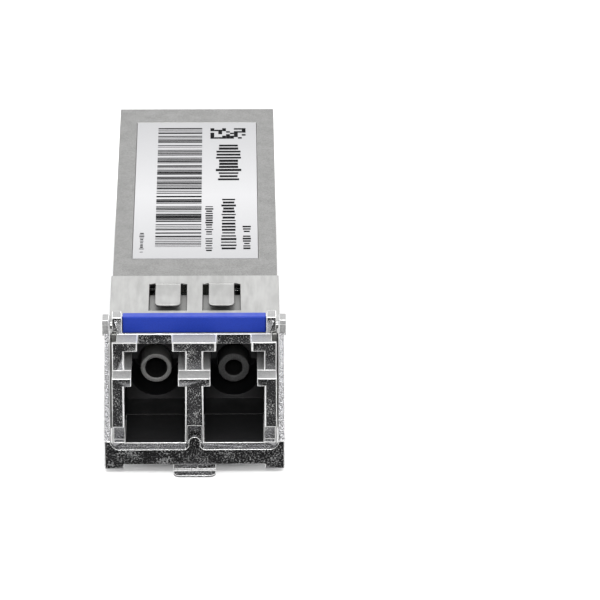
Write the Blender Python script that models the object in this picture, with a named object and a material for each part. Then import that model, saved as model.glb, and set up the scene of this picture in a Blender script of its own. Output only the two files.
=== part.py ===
# Pluggable duplex-LC optical transceiver module with a bail release.
# Work frame: X across, Y from the cage stop (0) to the rear end, Z up from the underside of the body.
import math

import bmesh
import bpy
from mathutils import Vector

for old_object in list(bpy.data.objects):
    bpy.data.objects.remove(old_object, do_unlink=True)

mm = 0.001

# ---- driving dimensions -------------------------------------------------------------------------
body_length = 47.5 * mm          # cage stop to rear end
body_height = 8.5 * mm           # underside to top of the cover
nose_length = 11.4 * mm          # cage stop to the seam between collar and cover
collar_step = 0.1 * mm           # collar proud of the cover, each side and on top
slip_gap = 0.05 * mm             # between pieces that touch or slide
overlap = 0.02 * mm              # step that keeps two faces of one piece out of one plane

cover_sheet = 0.3 * mm
collar_sheet = 0.2 * mm
tub_wall = 0.6 * mm
tub_floor = 0.8 * mm
sill_height = 0.93 * mm          # casting flange that the cover's sides stand on

port_pitch = 6.25 * mm
shell_beside_port = 3.575 * mm   # port centre to the outside of the cover
port_half = 2.4 * mm             # half the width of an LC opening
port_floor = 1.15 * mm
port_top = 6.05 * mm
ferrule_height = 3.53 * mm       # optical axis above the underside
port_stop_y = 3.7 * mm           # back wall of the LC opening
throat_half = 1.85 * mm          # latch throat above each opening
latch_half = 1.375 * mm          # latch slot in the ledge

head_bottom = 0.47 * mm
lower_front_y = -4.5 * mm        # lower, foremost step of the head
lower_step = 0.68 * mm           # top of the lower step above the opening
middle_front_y = -2.95 * mm
middle_drop = 1.45 * mm          # middle step below the top of the head
upper_front_y = -1.35 * mm
head_rise = 2.1 * mm             # head above the cover
ledge_thickness = 0.8 * mm
stop_wall = 0.3 * mm             # wall between the marker bar and the cage
stop_drop = 0.3 * mm             # stop wall below the top of the head
stop_groove = 0.15 * mm          # undercut at the collar's front edge
front_wall = 0.7 * mm            # wall between the head and the insert

marker_margin = 0.83 * mm        # marker bar short of the head, each side
marker_front_y = -1.15 * mm

pivot_y = -0.85 * mm
pin_radius = 0.3 * mm
pin_depth = 0.6 * mm             # pin end inside the head
ear_radius = 0.85 * mm
ear_front_y = -1.88 * mm
arm_gap = 0.15 * mm              # between head and bail arm
arm_sheet = 0.47 * mm
ear_step = 0.16 * mm             # ear outside the arm
bail_plate = 0.5 * mm            # thickness of the bail's cross bar
bar_bottom = -0.5 * mm
bar_top = 0.8 * mm
bar_corner = 0.7 * mm
foot_bottom = -0.85 * mm
foot_reach = 0.9 * mm            # bar foot inside the head width
tongue_half = 0.46 * mm
tongue_top = 1.9 * mm
tongue_room = 0.12 * mm          # pocket in the rib around the tongue, each side
notch_depth = 0.35 * mm          # of that pocket
notch_rise = 0.7 * mm            # pocket above the tongue
relief_depth = 0.55 * mm         # sloped relief at the lower end of each outer post
relief_upper_depth = 0.15 * mm
relief_height = 1.35 * mm
post_rim = 0.1 * mm              # rim left outside the relief of each outer post
tab_half = 1.68 * mm
tab_reach = 1.05 * mm            # how far the pull tab curls forward
tab_top = -0.95 * mm
tab_bottom = -1.15 * mm
crank_radius = 1.1 * mm          # bail pivot to the stub that drives the slide
stub_radius = 0.25 * mm

slide_sheet = 0.35 * mm
slide_travel = 1.04 * mm
slide_lead_gap = 0.17 * mm       # room for the crank's arc in front of the stub
slide_tongue_half = 2.9 * mm
latch_boss_half = 1.3 * mm
latch_boss_y = 2.5 * mm
latch_boss_length = 2.6 * mm
latch_boss_drop = 0.45 * mm
latch_cavity_depth = 0.5 * mm
latch_cavity_end = 8.5 * mm

finger_pitch = 4.32 * mm
finger_half = 1.025 * mm
finger_slit = 0.5 * mm
finger_tip_y = 4.9 * mm
finger_root_y = 9.7 * mm
finger_rise = 0.32 * mm
finger_side_z = 4.4 * mm

label_margin = 1.55 * mm
label_start_y = 15.0 * mm
rear_margin = 3.2 * mm           # label and board short of the rear end
label_sheet = 0.08 * mm

insert_length = 8.25 * mm
insert_bore = 2.1 * mm
latch_key_radius = 1.4 * mm      # arched room for the plug latch above each opening
sleeve_radius = 1.25 * mm
neck_radius = 1.8 * mm
flange_y = 9.15 * mm
neck_y = 9.9 * mm
neck_length = 1.6 * mm
can_length = 2.5 * mm
header_clearance = 0.125 * mm    # header to the tub wall, its floor or the middle, the nearest
flange_step = 0.1 * mm           # flange smaller than the header
can_step = 0.3 * mm              # can smaller than the header
header_length = 0.9 * mm
transmit_mouth = 0.915 * mm      # mouth radius of the transmit sleeve
receive_mouth = 0.71 * mm        # mouth radius of the receive sleeve
ferrule_bore = 0.66 * mm
stub_fibre_radius = 0.6 * mm

board_bottom = 2.25 * mm
board_thickness = 1.0 * mm
board_start_y = 16.8 * mm
board_tail_length = 7.7 * mm
board_tail_half = 4.6 * mm
bottom_opening_length = 10.4 * mm
ledge_width = 0.75 * mm
flex_sheet = 0.14 * mm
flex_half = 1.5 * mm

front_snap_y = 16.5 * mm
rear_snap_inset = 7.5 * mm       # rear catches ahead of the rear end
snap_half = 1.3 * mm
snap_bottom = 3.6 * mm
snap_top = 4.9 * mm
snap_depth = 0.22 * mm
screw_radius = 0.35 * mm
screw_head_radius = 0.62 * mm
screw_head_height = 0.5 * mm
clamp_rise = 0.9 * mm            # clamp above the necks it holds
stop_start_y = 30.0 * mm         # notch in the board and its stop in the tub
stop_length = 1.5 * mm
stop_depth = 0.5 * mm

# ---- dimensions that follow -----------------------------------------------------------------------
body_width = port_pitch + 2 * shell_beside_port
nose_width = body_width + 2 * collar_step
nose_height = body_height + collar_step
nose_half = nose_width / 2 - collar_sheet - slip_gap
head_half = nose_half - slip_gap
head_top = body_height + head_rise
middle_top = head_top - middle_drop
roof_under_ledge = middle_top - ledge_thickness
stop_top = head_top - stop_drop
lower_top = port_top + lower_step
marker_half = head_half - marker_margin
pivot_z = head_top - ear_radius
pin_inner_x = head_half - pin_depth
arm_inner = head_half + arm_gap
arm_outer = arm_inner + arm_sheet
ear_outer = arm_outer + ear_step
foot_inner = head_half - foot_reach
label_half = body_width / 2 - label_margin
label_end_y = body_length - rear_margin
board_end_y = body_length - rear_margin
board_tail_y = board_end_y - board_tail_length
bottom_opening_y = body_length - bottom_opening_length
snap_places = (front_snap_y, body_length - rear_snap_inset)
nose_top = nose_height - collar_sheet - slip_gap
collar_inner_half = nose_width / 2 - collar_sheet
cover_inner_half = body_width / 2 - cover_sheet
tub_half = cover_inner_half - slip_gap
tub_inner = tub_half - tub_wall
tub_top = body_height - cover_sheet - slip_gap
collar_end_y = nose_length - 2 * slip_gap
sill_start_y = nose_length - slip_gap
cover_start_y = nose_length + slip_gap
port_x = port_pitch / 2
bail_front_y = lower_front_y - slip_gap - bail_plate
tip_y = bail_front_y - tab_reach
insert_start_y = front_wall + slip_gap
insert_half = tub_inner - slip_gap
insert_bottom = port_floor - 0.15 * mm
insert_top = nose_top - slip_gap
header_radius = min(tub_inner - port_x, ferrule_height - tub_floor, port_x) - header_clearance
flange_radius = header_radius - flange_step
can_radius = header_radius - can_step
cradle_y = neck_y + 0.1 * mm
cradle_end_y = neck_y + neck_length - 0.1 * mm
cradle_top = ferrule_height - slip_gap / 2
screw_y = (cradle_y + cradle_end_y) / 2
collar_rear_y = neck_y + neck_length + 0.6 * mm
can_start_y = collar_rear_y + slip_gap
header_y = can_start_y + can_length
header_end_y = header_y + header_length
board_top = board_bottom + board_thickness
board_half = tub_inner - 0.2 * mm
slide_inner = head_half - slide_sheet + slip_gap
slide_bottom = head_bottom - slip_gap - slide_sheet
stub_z = pivot_z - crank_radius
fork_front_y = pivot_y - stub_radius - slide_lead_gap
fork_rear_y = pivot_y + stub_radius + 0.03 * mm
slide_front_y = fork_front_y - 0.33 * mm
slide_rear_y = fork_rear_y + 0.27 * mm
slide_top = pivot_z - pin_radius - 0.17 * mm
label_recess = label_sheet + 0.02 * mm

frame_centre_y = (body_length + tip_y) / 2
module_frame = bpy.data.objects.new("module_frame", None)
module_frame.location = (0, -frame_centre_y, -tab_bottom)
bpy.context.collection.objects.link(module_frame)


# ---- materials ------------------------------------------------------------------------------------
def finish(name, colour, roughness, metallic):
    made = bpy.data.materials.new(name)
    made.use_nodes = True
    shader = made.node_tree.nodes["Principled BSDF"]
    shader.inputs["Base Color"].default_value = (*colour, 1)
    shader.inputs["Roughness"].default_value = roughness
    shader.inputs["Metallic"].default_value = metallic
    return made


# ---- modelling helpers ----------------------------------------------------------------------------
def add_piece(name, mesh_data, look=None, origin=None, holder=None):
    """Turn a bmesh in the work frame into an object whose origin is `origin`."""
    corners = [vert.co for vert in mesh_data.verts]
    low = Vector([min(co[i] for co in corners) for i in range(3)])
    high = Vector([max(co[i] for co in corners) for i in range(3)])
    origin = Vector(origin) if origin else (low + high) / 2
    bmesh.ops.translate(mesh_data, verts=mesh_data.verts, vec=-origin)
    bmesh.ops.recalc_face_normals(mesh_data, faces=mesh_data.faces)
    mesh = bpy.data.meshes.new(name)
    mesh_data.to_mesh(mesh)
    mesh_data.free()
    piece = bpy.data.objects.new(name, mesh)
    bpy.context.collection.objects.link(piece)
    piece.parent = holder or module_frame
    piece.location = origin - (holder.location if holder else Vector((0, 0, 0)))
    if look:
        mesh.materials.append(look)
    return piece


def axis_point(axis, first, second, along):
    """Place an outline point: the outline's two coordinates are the other two axes in order."""
    if axis == "X":
        return (along, first, second)
    if axis == "Y":
        return (first, along, second)
    return (first, second, along)


def outline_mesh(axis, outline, low, high):
    mesh_data = bmesh.new()
    near = [mesh_data.verts.new(axis_point(axis, a, b, low)) for a, b in outline]
    far = [mesh_data.verts.new(axis_point(axis, a, b, high)) for a, b in outline]
    mesh_data.faces.new(near)
    mesh_data.faces.new(far)
    count = len(outline)
    for i in range(count):
        j = (i + 1) % count
        mesh_data.faces.new((near[i], near[j], far[j], far[i]))
    return mesh_data


def prism(name, axis, outline, low, high, look=None, **place):
    return add_piece(name, outline_mesh(axis, outline, low, high), look, **place)


def block(name, x, y, z, look=None, **place):
    outline = [(x[0], y[0]), (x[1], y[0]), (x[1], y[1]), (x[0], y[1])]
    return prism(name, "Z", outline, z[0], z[1], look, **place)


def arc(centre, radius, start, end, steps):
    """Points on a circle from one angle to another, in degrees, both ends included."""
    angles = [math.radians(start + (end - start) * i / steps) for i in range(steps + 1)]
    return [(centre[0] + radius * math.cos(a), centre[1] + radius * math.sin(a)) for a in angles]


def rod(name, axis, centre, radius, low, high, look=None, sides=32, **place):
    outline = arc(centre, radius, 0, 360 - 360 / sides, sides - 1)
    piece = prism(name, axis, outline, low, high, look, **place)
    piece.data.shade_smooth()
    piece.data.set_sharp_from_angle(angle=math.radians(30))
    return piece


def turned(name, profile, x, z, look, sides=32):
    """Revolve (y, radius) points about a line along Y; the ends close on the axis or on each other."""
    mesh_data = bmesh.new()
    rings = []
    for y, radius in profile:
        if radius == 0:
            rings.append([mesh_data.verts.new((x, y, z))])
        else:
            turns = arc((x, z), radius, 0, 360 - 360 / sides, sides - 1)
            rings.append([mesh_data.verts.new((px, y, pz)) for px, pz in turns])
    pairs = list(zip(rings, rings[1:]))
    if len(rings[0]) > 1:
        pairs.append((rings[-1], rings[0]))
    for ring, following in pairs:
        for i in range(sides):
            j = (i + 1) % sides
            corners = [ring[i % len(ring)], ring[j % len(ring)]]
            corners += [following[j % len(following)], following[i % len(following)]]
            mesh_data.faces.new(list(dict.fromkeys(corners)))
    piece = add_piece(name, mesh_data, look)
    piece.data.shade_smooth()
    piece.data.set_sharp_from_angle(angle=math.radians(30))
    return piece


def ribbon_outline(path, thickness):
    """Outline of a strip of constant thickness whose middle follows the path."""
    left, right = [], []
    for i, point in enumerate(path):
        before = Vector(path[max(i - 1, 0)])
        after = Vector(path[min(i + 1, len(path) - 1)])
        along = (after - before).normalized()
        across = Vector((-along.y, along.x)) * thickness / 2
        left.append(tuple(Vector(point) + across))
        right.append(tuple(Vector(point) - across))
    return left + right[::-1]


def combine(target, tool, operation):
    modifier = target.modifiers.new(tool.name, "BOOLEAN")
    modifier.operation = operation
    modifier.solver = "EXACT"
    modifier.object = tool
    tool.display_type = "WIRE"
    tool.hide_render = True


def join(target, *tools):
    for tool in tools:
        combine(target, tool, "UNION")


def cut(target, *tools):
    for tool in tools:
        combine(target, tool, "DIFFERENCE")


def mirrored(side, low, high):
    """An X range on the right-hand side, or its mirror image for side = -1."""
    return (low, high) if side > 0 else (-high, -low)


def round_corners(piece, chosen, skipped_axis, radius, steps):
    """Round the edges whose two ends both pass the test, except those along the skipped axis."""
    mesh_data = bmesh.new()
    mesh_data.from_mesh(piece.data)
    edges = []
    for edge in mesh_data.edges:
        start, end = [vert.co + piece.location for vert in edge.verts]
        along_axis = skipped_axis and abs((end - start)["XYZ".index(skipped_axis)]) > 0.01 * mm
        if chosen(start) and chosen(end) and not along_axis:
            edges.append(edge)
    bmesh.ops.bevel(mesh_data, geom=edges, offset=radius, segments=steps, affect="EDGES", profile=0.5)
    mesh_data.to_mesh(piece.data)
    mesh_data.free()


# ---- housing: die-cast base -----------------------------------------------------------------------
def make_casting():
    zinc = finish("zinc_casting", (0.45, 0.45, 0.46), 0.35, 1.0)
    root_y = front_wall - 0.1 * mm
    root_top = nose_top + overlap
    groove_top = nose_height + 0.15 * mm
    side = [(lower_front_y, head_bottom), (root_y, head_bottom), (root_y, root_top),
            (-stop_groove, root_top), (-stop_groove, groove_top), (0, groove_top), (0, head_top),
            (upper_front_y, head_top),
            (upper_front_y, middle_top), (middle_front_y, middle_top),
            (middle_front_y, lower_top), (lower_front_y, lower_top)]
    casting = block("base_casting", (-nose_half, nose_half), (0, nose_length), (0, nose_top), zinc)
    join(casting,
         prism("head_block", "X", side, -head_half, head_half),
         block("tub_block", (-tub_half, tub_half), (nose_length - 0.5 * mm, body_length),
               (0.3 * mm, tub_top)),
         block("sill_block", (-body_width / 2, body_width / 2), (sill_start_y, body_length),
               (0, sill_height)))
    over = 1 * mm
    hollow = [(front_wall, insert_bottom - slip_gap), (nose_length, insert_bottom - slip_gap),
              (nose_length, tub_floor), (body_length + over, tub_floor),
              (body_length + over, nose_top + over), (front_wall, nose_top + over)]
    cut(casting,
        prism("hollow", "X", hollow, -tub_inner, tub_inner),
        block("connector_opening", (-tub_inner + slip_gap, tub_inner - slip_gap),
              (bottom_opening_y, body_length + over), (-over, tub_floor + 0.1 * mm)),
        block("marker_slot", (-marker_half - slip_gap, marker_half + slip_gap),
              (upper_front_y - over, -stop_wall), (middle_top + 0.02 * mm, head_top + over)),
        block("stop_relief", (-marker_half - 2 * slip_gap, marker_half + 2 * slip_gap),
              (-stop_wall - 0.1 * mm, over), (stop_top, head_top + over)),
        block("latch_cavity", (-slide_tongue_half - 0.25 * mm, slide_tongue_half + 0.25 * mm),
              (-over, latch_cavity_end), (-over, latch_cavity_depth)),
        block("rib_notch", (-tongue_half - tongue_room, tongue_half + tongue_room),
              (lower_front_y - over, lower_front_y + notch_depth),
              (port_floor, tongue_top + notch_rise)))
    for side in (-1, 1):
        cut_port(casting, side)
        cut_side(casting, side)
    add_board_rests(casting)
    return casting


def cut_port(casting, side):
    """The LC opening, its latch throat, the hollow behind the tabs and the latch slot in the ledge."""
    name = "right" if side > 0 else "left"
    middle = side * port_x
    back = front_wall + 1 * mm
    ahead = lower_front_y - 1 * mm
    cut(casting,
        block("port_" + name, (middle - port_half, middle + port_half), (ahead, back),
              (port_floor, port_top)),
        block("throat_" + name, (middle - throat_half, middle + throat_half), (ahead, back),
              (port_top - 0.5 * mm, lower_top + 0.5 * mm)),
        block("latch_hollow_" + name, (middle - port_half, middle + port_half),
              (middle_front_y - 1 * mm, back), (lower_top + overlap, roof_under_ledge)),
        block("latch_slot_" + name, (middle - latch_half, middle + latch_half),
              (middle_front_y - 1 * mm, upper_front_y - slip_gap),
              (roof_under_ledge - 0.5 * mm, head_top)))


def cut_side(casting, side):
    """Slide channel, pin hole, finger relief and the lightened lower end of each outer post."""
    name = "right" if side > 0 else "left"
    deep = slide_front_y - slide_travel - slip_gap
    outside = mirrored(side, slide_inner - slip_gap, arm_outer)
    post_relief = [(lower_front_y - 1 * mm, port_floor + 0.05 * mm),
                   (lower_front_y + relief_depth, port_floor + 0.05 * mm),
                   (lower_front_y + relief_upper_depth, port_floor + relief_height),
                   (lower_front_y - 1 * mm, port_floor + relief_height)]
    cut(casting,
        block("slide_channel_" + name, outside, (deep, slide_rear_y + slip_gap),
              (-1 * mm, slide_top + slip_gap)),
        rod("pin_hole_" + name, "X", (pivot_y, pivot_z), pin_radius + 0.03 * mm,
            *mirrored(side, pin_inner_x - slip_gap, arm_outer)),
        block("side_relief_" + name, mirrored(side, nose_half - 0.3 * mm, nose_width),
              (finger_tip_y - 0.4 * mm, finger_root_y),
              (finger_side_z - finger_half - finger_slit, finger_side_z + finger_half + finger_slit)),
        prism("post_relief_" + name, "X", post_relief,
              *mirrored(side, port_x + port_half - 0.2 * mm, head_half - post_rim)))


def add_board_rests(casting):
    """Ledges and stops for the board, cradle for the two optical assemblies, latch boss, snaps."""
    boss = [(latch_boss_y, latch_cavity_depth + 0.2 * mm), (latch_boss_y, -latch_boss_drop),
            (latch_boss_y + 0.4 * mm, -latch_boss_drop),
            (latch_boss_y + latch_boss_length, 0.05 * mm),
            (latch_boss_y + latch_boss_length, latch_cavity_depth + 0.2 * mm)]
    join(casting,
         block("cradle", (-tub_inner - 0.2 * mm, tub_inner + 0.2 * mm), (cradle_y, cradle_end_y),
               (tub_floor - 0.3 * mm, cradle_top)),
         prism("latch_boss", "X", boss, -latch_boss_half, latch_boss_half))
    for side in (-1, 1):
        name = "right" if side > 0 else "left"
        join(casting,
             block("ledge_" + name, mirrored(side, tub_inner - ledge_width, tub_inner + 0.2 * mm),
                   (board_start_y + 0.7 * mm, bottom_opening_y - 0.6 * mm),
                   (tub_floor - 0.3 * mm, board_bottom - slip_gap)),
             block("board_stop_" + name,
                   mirrored(side, board_half - stop_depth + slip_gap, tub_inner + 0.2 * mm),
                   (stop_start_y + slip_gap, stop_start_y + stop_length - slip_gap),
                   (board_bottom - 0.4 * mm, board_top - slip_gap)))
        for number, snap_y in enumerate(snap_places):
            join(casting, prism(f"snap_{name}_{number}", "Y", snap_outline(side),
                                snap_y - snap_half + slip_gap, snap_y + snap_half - slip_gap))
        cut(casting, rod("neck_seat_" + name, "Y", (side * port_x, ferrule_height),
                         neck_radius + slip_gap, cradle_y - 0.5 * mm, cradle_end_y + 0.5 * mm))
    cut(casting, rod("screw_hole", "Z", (0, screw_y), screw_radius + slip_gap,
                     cradle_top - 2.2 * mm, cradle_top + 1 * mm))


def snap_outline(side):
    """A wedge on the tub wall: square catch below, ramp above."""
    inner = tub_half - 0.2 * mm
    outer = tub_half + snap_depth
    points = [(inner, snap_bottom + slip_gap), (outer, snap_bottom + slip_gap),
              (tub_half + 0.05 * mm, snap_top - slip_gap), (inner, snap_top - slip_gap)]
    return [(side * x, z) for x, z in points]


# ---- housing: sheet-metal covers ------------------------------------------------------------------
def make_cover():
    nickel = finish("nickel_sheet", (0.42, 0.42, 0.42), 0.5, 1.0)
    half = body_width / 2
    foot = sill_height + slip_gap
    channel = [(-half, foot), (-cover_inner_half, foot),
               (-cover_inner_half, body_height - cover_sheet),
               (cover_inner_half, body_height - cover_sheet), (cover_inner_half, foot), (half, foot),
               (half, body_height), (-half, body_height)]
    cover = prism("top_cover", "Y", channel, cover_start_y, body_length, nickel)
    cut(cover, block("label_recess", (-label_half - slip_gap, label_half + slip_gap),
                     (label_start_y - slip_gap, label_end_y + slip_gap),
                     (body_height - label_recess, body_height + 1 * mm)))
    for side in (-1, 1):
        for number, snap_y in enumerate(snap_places):
            cut(cover, block(f"snap_window_{side + 1}_{number}",
                             mirrored(side, cover_inner_half - 0.1 * mm, half + 0.5 * mm),
                             (snap_y - snap_half, snap_y + snap_half), (snap_bottom, snap_top)))
    paper = finish("label_film", (0.62, 0.62, 0.64), 0.45, 0.2)
    block("product_label", (-label_half, label_half), (label_start_y, label_end_y),
          (body_height - label_sheet, body_height), paper)


def finger_path():
    """Middle line of a contact finger as (y, height above the collar's outer face)."""
    steps = 10
    path = []
    for i in range(steps + 1):
        share = i / steps
        rise = finger_rise * math.sin(share * 0.62 * math.pi) ** 2
        path.append((finger_root_y + 0.25 * mm + (finger_tip_y - finger_root_y - 0.25 * mm) * share,
                     rise - collar_sheet / 2))
    return path


def make_collar():
    steel = finish("spring_steel", (0.62, 0.62, 0.60), 0.38, 1.0)
    half = nose_width / 2
    foot = 0.25 * mm
    under = nose_height - collar_sheet
    channel = [(-half, foot), (-collar_inner_half, foot), (-collar_inner_half, under),
               (collar_inner_half, under), (collar_inner_half, foot), (half, foot),
               (half, nose_height), (-half, nose_height)]
    collar = prism("emi_collar", "Y", channel, slip_gap, collar_end_y, steel)
    strip = ribbon_outline(finger_path(), collar_sheet - overlap)
    window = finger_half + finger_slit
    ahead = finger_tip_y - 0.45 * mm
    for side in (-1, 1):
        name = "right" if side > 0 else "left"
        middle = side * finger_pitch / 2
        cut(collar,
            block("top_window_" + name, (middle - window, middle + window), (ahead, finger_root_y),
                  (nose_height - 1 * mm, nose_height + 1 * mm)),
            block("side_window_" + name, mirrored(side, half - 1 * mm, half + 1 * mm),
                  (ahead, finger_root_y), (finger_side_z - window, finger_side_z + window)))
        top_finger = prism("top_finger_" + name, "X", [(y, nose_height + h) for y, h in strip],
                           middle - finger_half, middle + finger_half)
        round_corners(top_finger, lambda co: co.y < finger_tip_y + 0.1 * mm, "X", 0.4 * mm, 4)
        side_finger = prism("side_finger_" + name, "Z", [(side * (half + h), y) for y, h in strip],
                            finger_side_z - finger_half, finger_side_z + finger_half)
        round_corners(side_finger, lambda co: co.y < finger_tip_y + 0.1 * mm, "Z", 0.4 * mm, 4)
        join(collar, top_finger, side_finger)


def make_marker():
    blue = finish("blue_plastic", (0.02, 0.05, 0.38), 0.4, 0.0)
    marker = block("color_marker", (-marker_half, marker_half), (marker_front_y, -stop_wall - slip_gap),
                   (middle_top + slip_gap + 0.02 * mm, head_top - 0.03 * mm), blue)
    round_corners(marker, lambda co: co.y < marker_front_y + 0.1 * mm and co.z > head_top - 0.1 * mm,
                  "", 0.12 * mm, 3)


# ---- optical port ---------------------------------------------------------------------------------
def make_insert():
    black = finish("black_plastic", (0.012, 0.012, 0.013), 0.45, 0.0)
    insert = block("lc_insert", (-insert_half, insert_half),
                   (insert_start_y, insert_start_y + insert_length), (insert_bottom, insert_top), black)
    end_y = insert_start_y + insert_length
    for side in (-1, 1):
        name = "right" if side > 0 else "left"
        middle = side * port_x
        finger = side * finger_pitch / 2
        window = finger_half + finger_slit
        key = arc((middle, port_top - slip_gap), latch_key_radius, 0, 180, 12)
        key += [(middle + reach, port_top - 1 * mm) for reach in (-latch_key_radius, latch_key_radius)]
        cut(insert,
            block("plug_room_" + name, (middle - port_half, middle + port_half), (0, port_stop_y),
                  (port_floor + 0.02 * mm, port_top)),
            rod("sleeve_bore_" + name, "Y", (middle, ferrule_height), insert_bore,
                port_stop_y - 0.5 * mm, end_y - 1 * mm),
            rod("sleeve_hole_" + name, "Y", (middle, ferrule_height), sleeve_radius + slip_gap,
                end_y - 1.5 * mm, end_y + 1 * mm),
            prism("latch_key_" + name, "Y", key, 0, port_stop_y + 1.5 * mm),
            block("finger_relief_" + name, (finger - window, finger + window),
                  (finger_tip_y - 0.45 * mm, end_y + 1 * mm), (insert_top - 0.4 * mm, insert_top + 1 * mm)))


def make_optics(side, name, mouth):
    metal = finish(name + "_steel", (0.35, 0.34, 0.33), 0.3, 1.0)
    gold = finish(name + "_gold", (0.75, 0.55, 0.25), 0.3, 1.0)
    x = side * port_x
    front = port_stop_y + 0.7 * mm
    turned(name + "_receptacle",
           [(front, mouth), (front, sleeve_radius), (flange_y, sleeve_radius),
            (flange_y, flange_radius), (neck_y, flange_radius), (neck_y, neck_radius),
            (neck_y + neck_length, neck_radius), (neck_y + neck_length, can_radius),
            (collar_rear_y, can_radius), (collar_rear_y, ferrule_bore),
            (front + 0.6 * mm, ferrule_bore)],
           x, ferrule_height, metal)
    turned(name + "_can",
           [(can_start_y, 0), (can_start_y, can_radius), (header_y, can_radius),
            (header_y, header_radius), (header_end_y, header_radius), (header_end_y, 0)],
           x, ferrule_height, gold)
    polyimide = finish(name + "_polyimide", (0.35, 0.14, 0.03), 0.4, 0.0)
    behind = header_end_y + slip_gap + flex_sheet / 2
    landing = board_top + slip_gap + flex_sheet / 2
    top = ferrule_height + 1.6 * mm
    bend = 0.5 * mm
    path = [(behind, ferrule_height - 1.6 * mm)]
    path += [(y, z) for y, z in arc((behind + bend, top - bend), bend, 180, 60, 6)]
    path += [(board_start_y + 0.4 * mm, landing + 0.45 * mm), (board_start_y + 0.9 * mm, landing + 0.1 * mm),
             (board_start_y + 1.3 * mm, landing), (board_start_y + 2.9 * mm, landing)]
    prism(name + "_flex", "X", ribbon_outline(path, flex_sheet), x - flex_half, x + flex_half, polyimide)


def make_clamp():
    resin = finish("clamp_resin", (0.05, 0.05, 0.055), 0.5, 0.0)
    steel = finish("screw_steel", (0.5, 0.5, 0.5), 0.3, 1.0)
    top = ferrule_height + neck_radius + clamp_rise
    bottom = cradle_top + slip_gap
    clamp = block("optics_clamp", (-insert_half + 0.1 * mm, insert_half - 0.1 * mm),
                  (cradle_y, cradle_end_y), (bottom, top), resin)
    for side in (-1, 1):
        cut(clamp, rod(f"clamp_seat_{side + 1}", "Y", (side * port_x, ferrule_height),
                       neck_radius + slip_gap, cradle_y - 1 * mm, cradle_end_y + 1 * mm))
    cut(clamp, rod("clamp_hole", "Z", (0, screw_y), screw_radius + slip_gap, bottom - 1 * mm, top + 1 * mm))
    screw = rod("clamp_screw", "Z", (0, screw_y), screw_radius, cradle_top - 2 * mm, top + 0.3 * mm, steel)
    join(screw, rod("screw_head", "Z", (0, screw_y), screw_head_radius,
                     top + slip_gap, top + screw_head_height))
    cut(screw, block("screw_slot", (-0.7 * mm, 0.7 * mm), (screw_y - 0.1 * mm, screw_y + 0.1 * mm),
                     (top + 0.3 * mm, top + 1 * mm)))


def make_stub_and_lens():
    zirconia = finish("zirconia", (0.85, 0.85, 0.82), 0.2, 0.0)
    glass = finish("lens_glass", (0.75, 0.8, 0.85), 0.05, 0.0)
    rod("transmit_fibre_stub", "Y", (-port_x, ferrule_height), stub_fibre_radius,
        flange_y, collar_rear_y - 0.3 * mm, zirconia, sides=24)
    lens_y = collar_rear_y - 0.8 * mm
    turned("receive_lens", [(lens_y, 0), (lens_y + 0.15 * mm, 0.4 * mm), (lens_y + 0.4 * mm, 0.58 * mm),
                            (lens_y + 0.7 * mm, 0.58 * mm), (lens_y + 0.7 * mm, 0)],
           port_x, ferrule_height, glass, sides=24)


# ---- electronics ----------------------------------------------------------------------------------
def make_board():
    laminate = finish("board_laminate", (0.02, 0.14, 0.05), 0.4, 0.0)
    chamfer = 0.5 * mm
    right = [(board_half, board_start_y), (board_half, board_tail_y - 0.9 * mm),
             (board_tail_half, board_tail_y), (board_tail_half, board_end_y - chamfer),
             (board_tail_half - chamfer, board_end_y)]
    outline = right + [(-x, y) for x, y in right[::-1]]
    board = prism("circuit_board", "Z", outline, board_bottom, board_top, laminate)
    for side in (-1, 1):
        cut(board, block(f"board_notch_{side + 1}",
                         mirrored(side, board_half - stop_depth, board_half + 1 * mm),
                         (stop_start_y, stop_start_y + stop_length), (board_bottom - 1 * mm, board_top + 1 * mm)))
    epoxy = finish("chip_epoxy", (0.02, 0.02, 0.022), 0.5, 0.0)
    chips = {"laser_driver": (-3.0, 22.5, 3.0, 3.0, 0.85), "receive_amplifier": (3.0, 22.5, 3.0, 3.0, 0.85),
             "controller_chip": (0.0, 28.4, 4.0, 4.0, 0.9), "memory_chip": (0.4, 33.6, 2.0, 3.0, 0.75)}
    seat = board_top + slip_gap
    for name, (x, y, width, length, height) in chips.items():
        block(name, ((x - width / 2) * mm, (x + width / 2) * mm),
              ((y - length / 2) * mm, (y + length / 2) * mm), (seat, seat + height * mm), epoxy)
    ceramic = finish("capacitor_ceramic", (0.35, 0.24, 0.15), 0.5, 0.0)
    places = [(-4.4, 26.2), (-4.4, 28.2), (4.4, 26.2), (4.4, 28.2), (-2.6, 33.4), (3.2, 33.4)]
    for number, (x, y) in enumerate(places, start=1):
        block(f"capacitor_{number}", ((x - 0.5) * mm, (x + 0.5) * mm), ((y - 0.25) * mm, (y + 0.25) * mm),
              (seat, seat + 0.5 * mm), ceramic)


# ---- release: bail, pins and slide ----------------------------------------------------------------
def bail_front_outline():
    """Cross bar with its feet and centre tongue, as seen from the front."""
    outer = arm_outer - overlap
    right = [(foot_inner, bar_bottom), (foot_inner, foot_bottom),
             (outer, foot_bottom), (outer, bar_top + bar_corner)]
    right += arc((arm_inner + overlap - bar_corner, bar_top + bar_corner), bar_corner, 0, -90, 6)
    right += [(tongue_half + 0.25 * mm, bar_top), (tongue_half, bar_top + 0.25 * mm)]
    right += arc((0, tongue_top - tongue_half), tongue_half, 0, 75, 5)
    return right + [(-x, z) for x, z in right[::-1]]


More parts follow.
